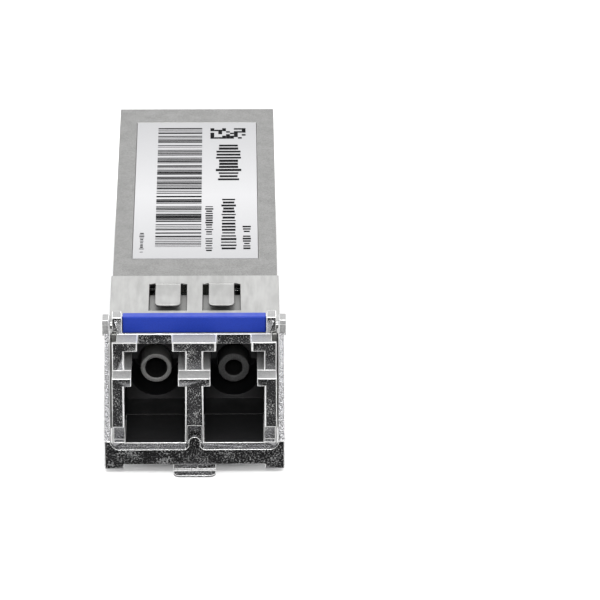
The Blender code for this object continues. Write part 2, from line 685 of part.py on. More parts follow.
def make_bail():
    cast = finish("dark_chrome", (0.2, 0.2, 0.21), 0.3, 1.0)
    axis = bpy.data.objects.new("bail_axis", None)
    axis.parent = module_frame
    axis.location = (0, pivot_y, pivot_z)
    bpy.context.collection.objects.link(axis)
    rear_y = bail_front_y + bail_plate
    bail = prism("bail", "Y", bail_front_outline(), bail_front_y, rear_y, cast,
                 origin=(0, pivot_y, pivot_z), holder=axis)
    shank_radius = ear_radius - 3 * overlap
    shank_front_y = bail_front_y + overlap
    head = arc((pivot_y, pivot_z), shank_radius, 90, -60, 14)
    shank = head + [(rear_y + 0.25 * mm, bar_bottom - 0.1 * mm), (shank_front_y, bar_bottom - 0.1 * mm),
                    (shank_front_y, bar_top + bar_corner), (pivot_y - 0.75 * mm, pivot_z - 0.45 * mm),
                    (pivot_y - 0.75 * mm, pivot_z + shank_radius)]
    ear = arc((pivot_y, pivot_z), ear_radius, 90, -180, 24)
    ear += [(pivot_y - ear_radius, head_top - 0.48 * mm), (ear_front_y + 0.08 * mm, head_top - 0.48 * mm),
            (ear_front_y, head_top - 0.4 * mm), (ear_front_y, head_top)]
    for side in (-1, 1):
        name = "right" if side > 0 else "left"
        join(bail,
             prism("shank_" + name, "X", shank, *mirrored(side, arm_inner, arm_outer)),
             prism("ear_" + name, "X", ear, *mirrored(side, arm_inner + 0.1 * mm, ear_outer)),
             rod("crank_stub_" + name, "X", (pivot_y, stub_z), stub_radius,
                 *mirrored(side, slide_inner + 0.02 * mm, arm_inner + 0.2 * mm), sides=20))
        cut(bail, rod("ear_hole_" + name, "X", (pivot_y, pivot_z), pin_radius + slip_gap,
                      *mirrored(side, arm_inner - 0.5 * mm, ear_outer + 0.5 * mm)))
    make_pull_tab(bail, rear_y)
    steel = finish("pin_steel", (0.5, 0.5, 0.5), 0.3, 1.0)
    for side in (-1, 1):
        name = "right" if side > 0 else "left"
        rod("bail_pin_" + name, "X", (pivot_y, pivot_z), pin_radius,
            *mirrored(side, pin_inner_x, ear_outer), steel, sides=24)


def make_pull_tab(bail, rear_y):
    """Tab that hangs from the middle of the bar and curls forward to a thin lip."""
    drop = 0.35 * mm
    back = rear_y - 0.05 * mm
    profile = [(back, bar_bottom + 0.3 * mm), (back, tab_bottom + drop)]
    profile += arc((back - drop, tab_bottom + drop), drop, 0, -90, 5)[1:]
    profile += [(bail_front_y - 0.2 * mm, tab_bottom), (bail_front_y - 0.2 * mm, tab_top),
                (bail_front_y - 0.1 * mm, tab_top), (bail_front_y + overlap, tab_top + 0.1 * mm),
                (bail_front_y + overlap, bar_bottom + 0.3 * mm)]
    corner = 0.5 * mm
    plan = arc((tab_half - overlap - corner, tip_y + corner), corner, -90, 0, 5)
    plan += [(tab_half - overlap, bail_front_y), (-tab_half + overlap, bail_front_y)]
    plan += arc((-tab_half + overlap + corner, tip_y + corner), corner, 180, 270, 5)
    join(bail,
         prism("tab_web", "X", profile, -tab_half, tab_half),
         prism("tab_lip", "Z", plan, tab_bottom + overlap, tab_top - overlap))


def make_slide():
    spring = finish("slide_steel", (0.5, 0.5, 0.48), 0.35, 1.0)
    top_of_plate = slide_bottom + slide_sheet
    leg_outer = slide_inner + slide_sheet
    axis = bpy.data.objects.new("slide_axis", None)
    axis.parent = module_frame
    axis.location = (0, slide_front_y, slide_bottom)
    bpy.context.collection.objects.link(axis)
    channel = [(-leg_outer, slide_bottom), (leg_outer, slide_bottom), (leg_outer, slide_top),
               (slide_inner, slide_top), (slide_inner, top_of_plate), (-slide_inner, top_of_plate),
               (-slide_inner, slide_top), (-leg_outer, slide_top)]
    slide = prism("release_slide", "Y", channel, slide_front_y, slide_rear_y, spring, holder=axis)
    window_end = latch_boss_y + latch_boss_length + slide_travel + 0.25 * mm
    tongue_end = latch_cavity_end - 0.3 * mm
    plan = [(-slide_tongue_half, slide_front_y + 0.2 * mm), (slide_tongue_half, slide_front_y + 0.2 * mm),
            (slide_tongue_half, tongue_end), (-slide_tongue_half, tongue_end)]
    join(slide, prism("slide_tongue", "Z", plan, slide_bottom + overlap, top_of_plate - overlap))
    window_half = latch_boss_half + 0.3 * mm
    cut(slide, block("boss_window", (-window_half, window_half), (latch_boss_y - 0.4 * mm, window_end),
                     (slide_bottom - 1 * mm, top_of_plate + 1 * mm)))
    ramp = [(window_end + 0.2 * mm, slide_bottom + 0.15 * mm),
            (window_end + 0.35 * mm, slide_bottom - 0.3 * mm),
            (tongue_end - 0.3 * mm, slide_bottom + 0.15 * mm)]
    for side in (-1, 1):
        name = "right" if side > 0 else "left"
        join(slide, prism("latch_ramp_" + name, "X", ramp, *mirrored(side, 1.0 * mm, 2.2 * mm)))
        cut(slide, block("fork_slot_" + name, mirrored(side, slide_inner - 1 * mm, leg_outer + 1 * mm),
                         (fork_front_y, fork_rear_y), (stub_z - stub_radius - 0.1 * mm, slide_top + 1 * mm)))


make_casting()
make_cover()
make_collar()
make_marker()
make_insert()
make_optics(-1, "transmit", transmit_mouth)
make_optics(1, "receive", receive_mouth)
make_clamp()
make_stub_and_lens()
make_board()
make_bail()
make_slide()
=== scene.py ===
import bmesh
import bpy
import math
from mathutils import Euler, Matrix, Vector


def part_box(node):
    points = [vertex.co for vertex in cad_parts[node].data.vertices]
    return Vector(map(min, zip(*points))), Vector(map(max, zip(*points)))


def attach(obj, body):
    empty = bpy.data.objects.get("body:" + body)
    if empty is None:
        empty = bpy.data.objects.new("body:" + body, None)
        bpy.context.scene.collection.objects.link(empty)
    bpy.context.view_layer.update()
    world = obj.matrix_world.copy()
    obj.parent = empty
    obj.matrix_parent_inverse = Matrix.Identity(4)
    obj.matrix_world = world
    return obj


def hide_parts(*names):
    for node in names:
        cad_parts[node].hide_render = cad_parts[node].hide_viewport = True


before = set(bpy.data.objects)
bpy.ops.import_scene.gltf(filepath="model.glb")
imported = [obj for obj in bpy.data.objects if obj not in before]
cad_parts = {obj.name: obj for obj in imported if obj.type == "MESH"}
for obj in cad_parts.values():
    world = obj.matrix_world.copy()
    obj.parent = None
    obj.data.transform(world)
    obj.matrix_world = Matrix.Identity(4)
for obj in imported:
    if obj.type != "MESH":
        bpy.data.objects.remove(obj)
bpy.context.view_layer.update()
mm = 0.001
toNatural = Vector((0, -20.7 * mm, 1.15 * mm))       # cage stop at Y 0, underside at Z 0

cameraSetup = {                           # millimetres and degrees, clipping in metres
    "target": (8.76, 4.74, 1.15), "distance": 436.6, "elevation": 24.29, "azimuth": -0.83,
    "roll": 0.14, "lens": 309.5, "sensor": 36.0, "nearest": 0.01, "farthest": 20}


def addCamera():
    data = bpy.data.cameras.new("studioCamera")
    data.lens = cameraSetup["lens"]
    data.sensor_width = cameraSetup["sensor"]
    data.clip_start = cameraSetup["nearest"]
    data.clip_end = cameraSetup["farthest"]
    data.dof.use_dof = False
    camera = bpy.data.objects.new("studioCamera", data)
    bpy.context.scene.collection.objects.link(camera)
    tilt = math.radians(cameraSetup["elevation"])
    turn = math.radians(cameraSetup["azimuth"])
    back = Vector((math.sin(turn) * math.cos(tilt), -math.cos(turn) * math.cos(tilt), math.sin(tilt)))
    camera.location = Vector(cameraSetup["target"]) * mm + back * cameraSetup["distance"] * mm
    aim = Euler((math.pi / 2 - tilt, 0, turn)).to_matrix()
    roll = Matrix.Rotation(math.radians(cameraSetup["roll"]), 3, "Z")
    camera.rotation_euler = (aim @ roll).to_euler()
    bpy.context.scene.camera = camera


def addAreaLight(name, place, target, size, power):
    data = bpy.data.lights.new(name, "AREA")
    data.shape = "RECTANGLE"
    data.size, data.size_y = size
    data.energy = power
    light = bpy.data.objects.new(name, data)
    light.location = place
    light.rotation_euler = (Vector(target) - Vector(place)).to_track_quat("-Z", "Y").to_euler()
    bpy.context.scene.collection.objects.link(light)


worldSetup = {"bright": 0.98, "dark": 0.012, "darkBefore": -0.88, "brightAfter": -0.58}


def addWorld():                           # white all round, dark only in front of the port
    world = bpy.data.worlds.new("studio")
    world.use_nodes = True
    nodes, links = world.node_tree.nodes, world.node_tree.links
    coords = nodes.new("ShaderNodeTexCoord")
    split = nodes.new("ShaderNodeSeparateXYZ")
    ramp = nodes.new("ShaderNodeMapRange")
    ramp.interpolation_type = "SMOOTHSTEP"
    ramp.inputs["From Min"].default_value = worldSetup["darkBefore"]
    ramp.inputs["From Max"].default_value = worldSetup["brightAfter"]
    ramp.inputs["To Min"].default_value = worldSetup["dark"]
    ramp.inputs["To Max"].default_value = worldSetup["bright"]
    links.new(coords.outputs["Generated"], split.inputs[0])
    links.new(split.outputs["Y"], ramp.inputs["Value"])
    links.new(ramp.outputs["Result"], nodes["Background"].inputs["Strength"])
    nodes["Background"].inputs["Color"].default_value = (1, 1, 1, 1)
    bpy.context.scene.world = world
    bpy.context.scene.view_settings.view_transform = "Standard"


softboxes = {                             # place, aim and size in metres, then power in watts
    "topSoftbox": ((0.02, 0.05, 0.45), (0, 0, 0), (0.45, 0.45), 1.6),
    "leftSoftbox": ((-0.40, -0.02, 0.16), (0, 0, 0), (0.20, 0.30), 0.25),
    "rightSoftbox": ((0.40, -0.02, 0.16), (0, 0, 0), (0.20, 0.30), 0.25),
    "rearSoftbox": ((0.0, 0.45, 0.25), (0, 0, 0), (0.40, 0.25), 0.35),
    "frontSoftbox": ((0.0, -0.42, 0.24), (0, -0.02, 0), (0.14, 0.10), 0.75),
}
tableSetup = {"size": 6, "tone": 0.93, "roughness": 0.9}


def addStudio():
    addWorld()
    for name, (place, target, size, power) in softboxes.items():
        addAreaLight(name, place, target, size, power)
    bpy.ops.mesh.primitive_plane_add(size=tableSetup["size"])
    floor = bpy.context.object
    floor.name = "floor"
    floor.visible_glossy = False          # polished faces see the dark room in front, not the table
    white = bpy.data.materials.new("whiteTable")
    white.use_nodes = True
    shader = white.node_tree.nodes["Principled BSDF"]
    tone = tableSetup["tone"]
    shader.inputs["Base Color"].default_value = (tone, tone, tone, 1)
    shader.inputs["Roughness"].default_value = tableSetup["roughness"]
    shader.inputs["Specular IOR Level"].default_value = 0.0
    floor.data.materials.append(white)
    print("studio ready")


addCamera()
addStudio()


def startMaterial(name, roughness, metallic):
    made = bpy.data.materials.new(name)
    made.use_nodes = True
    shader = made.node_tree.nodes["Principled BSDF"]
    shader.inputs["Roughness"].default_value = roughness
    shader.inputs["Metallic"].default_value = metallic
    return made, made.node_tree.nodes, made.node_tree.links, shader


def addNoise(nodes, links, grain, detail=2.0, stretch=(1, 1, 1), roughness=0.55):
    coords = nodes.new("ShaderNodeTexCoord")
    mapping = nodes.new("ShaderNodeMapping")
    mapping.inputs["Scale"].default_value = [1 / (grain * part) for part in stretch]
    noise = nodes.new("ShaderNodeTexNoise")
    noise.inputs["Scale"].default_value = 1.0
    noise.inputs["Detail"].default_value = detail
    noise.inputs["Roughness"].default_value = roughness
    links.new(coords.outputs["Object"], mapping.inputs["Vector"])
    links.new(mapping.outputs["Vector"], noise.inputs["Vector"])
    return noise.outputs["Fac"]


def addRamp(nodes, links, source, stops):
    ramp = nodes.new("ShaderNodeValToRGB")
    while len(ramp.color_ramp.elements) < len(stops):
        ramp.color_ramp.elements.new(0.5)
    for element, (position, color) in zip(ramp.color_ramp.elements, stops):
        element.position = position
        element.color = (*color, 1)
    links.new(source, ramp.inputs["Fac"])
    return ramp.outputs["Color"]


def addRange(nodes, links, source, low, high, fromLow=0.3, fromHigh=0.7):
    ranged = nodes.new("ShaderNodeMapRange")
    ranged.inputs["From Min"].default_value = fromLow
    ranged.inputs["From Max"].default_value = fromHigh
    ranged.inputs["To Min"].default_value = low
    ranged.inputs["To Max"].default_value = high
    links.new(source, ranged.inputs["Value"])
    return ranged.outputs["Result"]


def addBump(nodes, links, shader, source, height, strength):
    bump = nodes.new("ShaderNodeBump")
    bump.inputs["Distance"].default_value = height
    bump.inputs["Strength"].default_value = strength
    links.new(source, bump.inputs["Height"])
    links.new(bump.outputs["Normal"], shader.inputs["Normal"])


grainSetup = {"darkAt": 0.32, "lightAt": 0.68, "patchScale": 14}


def grainedMetal(name, dark, light, grain, roughLow, roughHigh, height, strength, metallic=1.0,
                 stretch=(1, 1, 1), detail=2.0):
    made, nodes, links, shader = startMaterial(name, roughLow, metallic)
    noise = addNoise(nodes, links, grain, detail, stretch)
    stops = [(grainSetup["darkAt"], dark), (grainSetup["lightAt"], light)]
    links.new(addRamp(nodes, links, noise, stops), shader.inputs["Base Color"])
    broad = addNoise(nodes, links, grain * grainSetup["patchScale"])
    links.new(addRange(nodes, links, broad, roughLow, roughHigh), shader.inputs["Roughness"])
    addBump(nodes, links, shader, noise, height, strength)
    return made


mouldSetup = {"darker": 0.86, "darkAt": 0.35, "lightAt": 0.65, "patchScale": 12, "smoother": 0.06,
              "rougher": 0.08}


def mouldedPlastic(name, color, roughness, grain=0.12 * mm, height=0.004 * mm, strength=0.25, gloss=0.5):
    made, nodes, links, shader = startMaterial(name, roughness, 0.0)
    shader.inputs["Specular IOR Level"].default_value = gloss
    noise = addNoise(nodes, links, grain, detail=3.0)
    darker = [part * mouldSetup["darker"] for part in color]
    stops = [(mouldSetup["darkAt"], darker), (mouldSetup["lightAt"], color)]
    links.new(addRamp(nodes, links, noise, stops), shader.inputs["Base Color"])
    broad = addNoise(nodes, links, grain * mouldSetup["patchScale"])
    patches = addRange(nodes, links, broad, roughness - mouldSetup["smoother"],
                       roughness + mouldSetup["rougher"])
    links.new(patches, shader.inputs["Roughness"])
    addBump(nodes, links, shader, noise, height, strength)
    return made


speckleSetup = {"noiseRoughness": 0.7, "patchScale": 9, "patchWeight": 0.35, "softness": 0.10,
                "grainMetallic": 0.25, "grainRougher": 0.3}


def speckledMetal(name, dark, grainTone, grain, share, height, strength, sheen=0.24):
    made, nodes, links, shader = startMaterial(name, sheen, 1.0)
    fine = addNoise(nodes, links, grain, detail=3.0, roughness=speckleSetup["noiseRoughness"])
    broad = addNoise(nodes, links, grain * speckleSetup["patchScale"])
    total = nodes.new("ShaderNodeMath")
    total.operation = "MULTIPLY_ADD"      # broad patches hold more grains than others
    links.new(broad, total.inputs[0])
    total.inputs[1].default_value = speckleSetup["patchWeight"]
    links.new(fine, total.inputs[2])
    spots = addRange(nodes, links, total.outputs[0], 0.0, 1.0, share, share + speckleSetup["softness"])
    links.new(addRamp(nodes, links, spots, [(0.0, dark), (1.0, grainTone)]), shader.inputs["Base Color"])
    metallic = addRange(nodes, links, spots, 1.0, speckleSetup["grainMetallic"], 0.0, 1.0)
    links.new(metallic, shader.inputs["Metallic"])
    rougher = addRange(nodes, links, spots, sheen, sheen + speckleSetup["grainRougher"], 0.0, 1.0)
    links.new(rougher, shader.inputs["Roughness"])
    addBump(nodes, links, shader, fine, height, strength)
    return made


finish = {
    "sheet": grainedMetal("nickelSheet", (0.175, 0.175, 0.172), (0.25, 0.25, 0.246), 0.10 * mm,
                          0.42, 0.55, 0.008 * mm, 0.5),
    "collar": grainedMetal("springSheet", (0.27, 0.27, 0.265), (0.33, 0.33, 0.325), 0.5 * mm,
                           0.30, 0.42, 0.004 * mm, 0.15, stretch=(1, 6, 1)),
    "casting": speckledMetal("speckledCasting", (0.30, 0.30, 0.31), (0.46, 0.46, 0.45), 0.12 * mm,
                             0.74, 0.05 * mm, 0.42),
    # lighter, less metallic copy of the casting for faces lit from above: painted top light
    "ledge": grainedMetal("satinLedge", (0.26, 0.26, 0.26), (0.36, 0.36, 0.36), 0.12 * mm,
                          0.6, 0.75, 0.01 * mm, 0.3, metallic=0.3),
    # bright finish on the casting's and bail's rounded edges: a painted highlight
    "edge": grainedMetal("paintedEdgeHighlight", (0.80, 0.80, 0.80), (0.95, 0.95, 0.94), 0.3 * mm,
                         0.2, 0.35, 0.003 * mm, 0.2, metallic=0.45),
    "bail": speckledMetal("darkCasting", (0.17, 0.17, 0.175), (0.30, 0.30, 0.30), 0.14 * mm,
                          0.72, 0.05 * mm, 0.36),
    "rim": grainedMetal("ferruleRim", (0.38, 0.38, 0.37), (0.50, 0.50, 0.49), 0.10 * mm,
                        0.5, 0.65, 0.003 * mm, 0.2, metallic=0.35),
    "tin": grainedMetal("tinPlate", (0.58, 0.58, 0.57), (0.72, 0.72, 0.70), 0.12 * mm,
                        0.25, 0.4, 0.002 * mm, 0.2),
    "steel": grainedMetal("turnedSteel", (0.42, 0.42, 0.42), (0.55, 0.55, 0.55), 0.15 * mm,
                          0.2, 0.35, 0.003 * mm, 0.2),
    "darkRing": grainedMetal("darkRing", (0.09, 0.09, 0.09), (0.14, 0.14, 0.14), 0.12 * mm,
                             0.45, 0.6, 0.003 * mm, 0.2, metallic=0.3),
    # near-black for the sleeves' bore walls and floor: painted shade inside the bores
    "paintedBoreShade": mouldedPlastic("paintedBoreShade", (0.018, 0.018, 0.018), 0.4, gloss=0.3),
    "gold": grainedMetal("goldPlate", (0.78, 0.52, 0.20), (0.90, 0.64, 0.28), 0.2 * mm,
                         0.25, 0.4, 0.002 * mm, 0.2, metallic=0.6),
    "slideSteel": grainedMetal("slideSheet", (0.45, 0.45, 0.43), (0.56, 0.56, 0.54), 0.4 * mm,
                               0.3, 0.42, 0.004 * mm, 0.2, stretch=(1, 5, 1)),
    "marker": mouldedPlastic("bluePlastic", (0.010, 0.040, 0.38), 0.40, gloss=0.25),
    "black": mouldedPlastic("blackPlastic", (0.012, 0.012, 0.013), 0.42),
    "clamp": mouldedPlastic("greyResin", (0.05, 0.05, 0.055), 0.5),
    "board": mouldedPlastic("solderMask", (0.012, 0.10, 0.035), 0.3, 0.3 * mm),
    "epoxy": mouldedPlastic("chipEpoxy", (0.02, 0.02, 0.022), 0.5, 0.06 * mm),
    "ceramic": mouldedPlastic("firedCeramic", (0.36, 0.24, 0.14), 0.45, 0.05 * mm),
    # amber flex film darkened as painted shade inside the housing
    "polyimidePaintedShade": mouldedPlastic("polyimideFilmPaintedShade", (0.085, 0.030, 0.008), 0.45, 0.3 * mm),
    # fibre stub: white zirconia darkened as painted shade inside its bore
    "zirconia": mouldedPlastic("zirconia", (0.10, 0.10, 0.097), 0.3, 0.1 * mm),
    "ink": mouldedPlastic("printInk", (0.006, 0.006, 0.007), 0.7, 0.08 * mm, gloss=0.03),
}


# film tones along the label: front, middle and rear, with the middle lighter as a painted sheen
filmSetup = {"front": (0.37, 0.37, 0.38), "middle": (0.47, 0.47, 0.48), "rear": (0.34, 0.34, 0.35),
             "paintedSheenAt": 0.45, "tooth": 0.09 * mm, "toothDark": 0.86, "toothWeight": 0.35}


def labelFilm():                          # silvery film with a painted sheen, brightest a little ahead of its middle
    made, nodes, links, shader = startMaterial("silverFilm", roughness=0.42, metallic=0.35)
    coords = nodes.new("ShaderNodeTexCoord")
    split = nodes.new("ShaderNodeSeparateXYZ")
    links.new(coords.outputs["Object"], split.inputs[0])
    low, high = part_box("product_label")
    along = addRange(nodes, links, split.outputs["Y"], 0.0, 1.0, low.y, high.y)
    stops = [(0.0, filmSetup["front"]), (filmSetup["paintedSheenAt"], filmSetup["middle"]),
             (1.0, filmSetup["rear"])]
    # painted sheen: the film's tone rises and falls along its length
    tint = addRamp(nodes, links, along, stops)
    tooth = addNoise(nodes, links, filmSetup["tooth"])
    mix = nodes.new("ShaderNodeMix")
    mix.data_type = "RGBA"
    mix.blend_type = "MULTIPLY"
    mix.inputs["Factor"].default_value = filmSetup["toothWeight"]
    links.new(tint, mix.inputs[6])
    shade = addRamp(nodes, links, tooth, [(0.3, [filmSetup["toothDark"]] * 3), (0.7, (1, 1, 1))])
    links.new(shade, mix.inputs[7])
    links.new(mix.outputs[2], shader.inputs["Base Color"])
    addBump(nodes, links, shader, tooth, 0.003 * mm, 0.2)
    return made


# painted shadow: dark just ahead of the finger tips, lighter further back
slitSetup = {"tipY": 4.9 * mm, "darkBefore": 0.1 * mm, "brightAfter": 0.35 * mm,
             "dark": (0.02, 0.02, 0.02), "bright": (0.24, 0.24, 0.235)}


def slitMetal():                          # metal under the fingers, with a painted shadow ahead of their tips
    made, nodes, links, shader = startMaterial("slitFloor", roughness=0.5, metallic=0.8)
    coords = nodes.new("ShaderNodeTexCoord")
    split = nodes.new("ShaderNodeSeparateXYZ")
    links.new(coords.outputs["Object"], split.inputs[0])
    tip = toNatural.y + slitSetup["tipY"]
    along = addRange(nodes, links, split.outputs["Y"], 0.0, 1.0, tip - slitSetup["darkBefore"],
                     tip + slitSetup["brightAfter"])
    tone = addRamp(nodes, links, along, [(0.0, slitSetup["dark"]), (1.0, slitSetup["bright"])])
    links.new(tone, shader.inputs["Base Color"])
    addBump(nodes, links, shader, addNoise(nodes, links, 0.15 * mm), 0.004 * mm, 0.2)
    return made


glassSetup = {"bend": 1.52, "haze": 0.3 * mm, "dim": (0.86, 0.92, 0.96), "clear": (0.93, 0.96, 0.98)}


def lensGlass():                          # clear glass with a faint cool haze
    made, nodes, links, shader = startMaterial("lensGlass", roughness=0.03, metallic=0.0)
    shader.inputs["Transmission Weight"].default_value = 1.0
    shader.inputs["IOR"].default_value = glassSetup["bend"]
    haze = addNoise(nodes, links, glassSetup["haze"])
    tint = addRamp(nodes, links, haze, [(0.3, glassSetup["dim"]), (0.7, glassSetup["clear"])])
    links.new(tint, shader.inputs["Base Color"])
    return made


finish["film"] = labelFilm()
finish["glass"] = lensGlass()
finish["slitFloor"] = slitMetal()
print("materials ready:", len(finish))


refineSetup = {"mergeWithin": 0.0005 * mm, "flatAngle": 1.0, "sharpAngle": 30, "roundSteps": 2}


def refined(node, newName, material, edgeMaterial, bevel, faceTests, extra, broadEdge, narrow):
    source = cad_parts[node]
    mesh = source.data.copy()
    mesh.materials.clear()
    piece = bpy.data.objects.new(newName, mesh)
    bpy.context.scene.collection.objects.link(piece)
    work = bmesh.new()
    work.from_mesh(mesh)
    bmesh.ops.remove_doubles(work, verts=work.verts, dist=refineSetup["mergeWithin"])
    bmesh.ops.dissolve_limit(work, angle_limit=math.radians(refineSetup["flatAngle"]), verts=work.verts,
                             edges=work.edges)
    bmesh.ops.triangulate(work, faces=work.faces, quad_method="BEAUTY", ngon_method="EAR_CLIP")
    for face in work.faces:
        face.smooth = True
        face.material_index = 0
        for index, test in enumerate(faceTests, start=2):
            if test(face.calc_center_median() - toNatural, face.normal):
                face.material_index = index
    weight = work.edges.layers.float.new("bevel_weight_edge")
    sharp = math.radians(refineSetup["sharpAngle"])
    for line in work.edges:
        if len(line.link_faces) == 2 and line.calc_face_angle() > sharp:
            ends = [vert.co - toNatural for vert in line.verts]
            line[weight] = 1.0 if broadEdge and broadEdge(*ends) else narrow
    work.to_mesh(mesh)
    work.free()
    mesh.materials.append(material)
    for other in (edgeMaterial or material, *extra):
        mesh.materials.append(other)
    rounder = piece.modifiers.new("rounder", "BEVEL")
    rounder.width = bevel
    rounder.segments = refineSetup["roundSteps"]
    rounder.limit_method = "WEIGHT"
    rounder.use_clamp_overlap = False
    # bevel faces take slot 1; on the casting and bail that is a painted highlight along the edges
    rounder.material = 1
    weighted = piece.modifiers.new("flatFaces", "WEIGHTED_NORMAL")
    weighted.keep_sharp = True
    bakeModifiers(piece)
    return piece


def bakeModifiers(piece):
    graph = bpy.context.evaluated_depsgraph_get()
    shaped = bpy.data.meshes.new_from_object(piece.evaluated_get(graph))
    piece.modifiers.clear()
    piece.data = shaped


def take(piece, node, body="housing"):
    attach(piece, body)
    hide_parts(node)


# X is taken from the middle, Y from the cage stop and Z from the underside
# upward, forward, rearward and sideways are limits on a face's normal
frontEdges = {"straight": 0.02 * mm, "shortest": 0.7 * mm, "behind": -2.9 * mm, "outermost": 5.7 * mm,
              "innermost": 0.7 * mm, "lowest": 1.0 * mm}
armEdges = {"inner": 6.65 * mm, "within": 0.03 * mm, "shortest": 1.0 * mm, "behind": -1.5 * mm}
portInside = {"front": -4.45 * mm, "rear": 3.7 * mm, "rib": 0.7 * mm, "wall": 5.6 * mm,
              "floor": 1.0 * mm, "floorTop": 1.3 * mm, "roof": 6.0 * mm, "sideways": 0.5}
boreSetup = {"middleX": 3.125 * mm, "height": 3.53 * mm, "inward": 0.1 * mm, "floorRadius": 0.55 * mm}
ledgeFaces = {"upward": 0.95, "ahead": 0.3 * mm, "above": 6.0 * mm}
slitFaces = {"upward": 0.9, "behind": 4.3 * mm, "above": 7.6 * mm}
platedFaces = {"rearward": 0.9, "behind": 15.0 * mm}
reliefFaces = {"upward": 0.15, "forward": 0.2, "below": 2.7 * mm, "ahead": -3.8 * mm}
earBottom = 8.9 * mm


def uprightFront(first, second):          # upright edges of posts, rib and tabs on the front steps, with a wider painted highlight
    turned = abs(first.x - second.x), abs(first.y - second.y)
    upright = max(turned) < frontEdges["straight"] and abs(first.z - second.z) > frontEdges["shortest"]
    onSteps = first.y < frontEdges["behind"] and min(first.z, second.z) > frontEdges["lowest"]
    return upright and onSteps and frontEdges["innermost"] < abs(first.x) < frontEdges["outermost"]


def innerArm(first, second):              # inner front edges of the bail's arms, with a wider painted highlight
    onFace = all(abs(abs(end.x) - armEdges["inner"]) < armEdges["within"] for end in (first, second))
    return onFace and abs(first.z - second.z) > armEdges["shortest"] and first.y < armEdges["behind"]


def topFacing(place, normal):             # ledges and post tops, given the lighter finish as painted top light
    level = normal.z > ledgeFaces["upward"]
    return level and place.y < ledgeFaces["ahead"] and place.z > ledgeFaces["above"]


def insidePort(place, normal):            # walls, floor and roof of both ports, all but the ledges, painted black: partly the insert's plastic lining, partly painted shade
    beside = portInside["rib"] < abs(place.x) < portInside["wall"] and abs(normal.y) < portInside["sideways"]
    within = portInside["front"] < place.y < portInside["rear"] and place.z > portInside["floor"]
    under = normal.z < ledgeFaces["upward"] and place.z < portInside["roof"]
    return beside and within and (under or place.z < portInside["floorTop"])


def slitBottom(place, normal):            # floor below the collar's fingers
    level = normal.z > slitFaces["upward"]
    return level and place.y > slitFaces["behind"] and place.z > slitFaces["above"]


def headerPlate(place, normal):           # plated rear face of an optical can
    return normal.y > platedFaces["rearward"] and place.y > platedFaces["behind"]


def armEar(place, normal):                # lugs that hang the bail on its pins, all given the lighter top finish as painted light
    return place.z > earBottom


def insideBore(place, normal):            # wall and floor of a sleeve's bore, near-black as painted shade
    outward = Vector((abs(place.x) - boreSetup["middleX"], 0, place.z - boreSetup["height"]))
    side = Vector((normal.x * math.copysign(1, place.x), 0, normal.z))
    return outward.dot(side) < -boreSetup["inward"] or outward.length < boreSetup["floorRadius"]


def lowerRelief(place, normal):           # slope at the lower end of each outer post, given the lighter finish as painted top light
    sloped = normal.z > reliefFaces["upward"] and normal.y < -reliefFaces["forward"]
    return sloped and place.z < reliefFaces["below"] and place.y < reliefFaces["ahead"]


refinedPieces = {
    "base_casting": {"name": "casting", "finish": "casting", "edge": "edge", "bevel": 0.15 * mm,
                     "broad": uprightFront, "narrow": 0.4, "slot": "casting",
                     "tests": (topFacing, insidePort, lowerRelief), "extra": ("ledge", "black", "ledge")},
    "emi_collar": {"name": "shieldCollar", "finish": "collar", "bevel": 0.045 * mm, "slot": "collar"},
    "top_cover": {"name": "topCover", "finish": "sheet", "edge": "collar", "bevel": 0.05 * mm,
                  "slot": "cover"},
    "product_label": {"name": "labelFilm", "finish": "film", "bevel": 0.02 * mm, "slot": "label"},
    "color_marker": {"name": "markerBar", "finish": "marker", "bevel": 0.06 * mm, "slot": "marker"},
    "lc_insert": {"name": "portInsert", "finish": "black", "bevel": 0.04 * mm, "tests": (slitBottom,),
                  "extra": ("slitFloor",), "slot": "insert"},
    "bail": {"name": "bailLever", "finish": "bail", "edge": "edge", "bevel": 0.13 * mm,
             "broad": innerArm, "narrow": 0.25, "slot": "bail", "body": "bail",
             "tests": (topFacing, armEar), "extra": ("ledge", "ledge")},
    "release_slide": {"name": "releaseSlide", "finish": "slideSteel", "bevel": 0.04 * mm,
                      "slot": "slide", "body": "release_slide"},
    "transmit_receptacle": {"name": "transmitSleeve", "finish": "rim", "bevel": 0.06 * mm,
                            "tests": (insideBore,), "extra": ("paintedBoreShade",), "slot": "transmit_optics"},
    "receive_receptacle": {"name": "receiveSleeve", "finish": "darkRing", "bevel": 0.06 * mm,
                           "tests": (insideBore,), "extra": ("paintedBoreShade",), "slot": "receive_optics"},
    "transmit_can": {"name": "transmitCan", "finish": "steel", "bevel": 0.08 * mm, "tests": (headerPlate,),
                     "extra": ("gold",), "slot": "cans"},
    "receive_can": {"name": "receiveCan", "finish": "steel", "bevel": 0.08 * mm, "tests": (headerPlate,),
                    "extra": ("gold",), "slot": "cans"},
    "optics_clamp": {"name": "opticsClamp", "finish": "clamp", "bevel": 0.08 * mm, "slot": "clamp"},
    "clamp_screw": {"name": "clampScrew", "finish": "steel", "bevel": 0.04 * mm, "slot": "screw"},
    "circuit_board": {"name": "circuitBoard", "finish": "board", "bevel": 0.03 * mm, "slot": "board"},
    "bail_pin_left": {"name": "leftPin", "finish": "steel", "bevel": 0.05 * mm, "slot": "pins"},
    "bail_pin_right": {"name": "rightPin", "finish": "steel", "bevel": 0.05 * mm, "slot": "pins"},
}
for node, plan in refinedPieces.items():
    edge = finish[plan["edge"]] if "edge" in plan else None
    extra = [finish[name] for name in plan.get("extra", ())]
    piece = refined(node, plan["name"], finish[plan["finish"]], edge, plan["bevel"],
                    plan.get("tests", ()), extra, plan.get("broad"), plan.get("narrow", 1.0))
    take(piece, node, plan.get("body", "housing"))
print("refined pieces:", len(refinedPieces))


blockBevel = {"share": 0.12, "steps": 2}  # width is a share of the block's least side


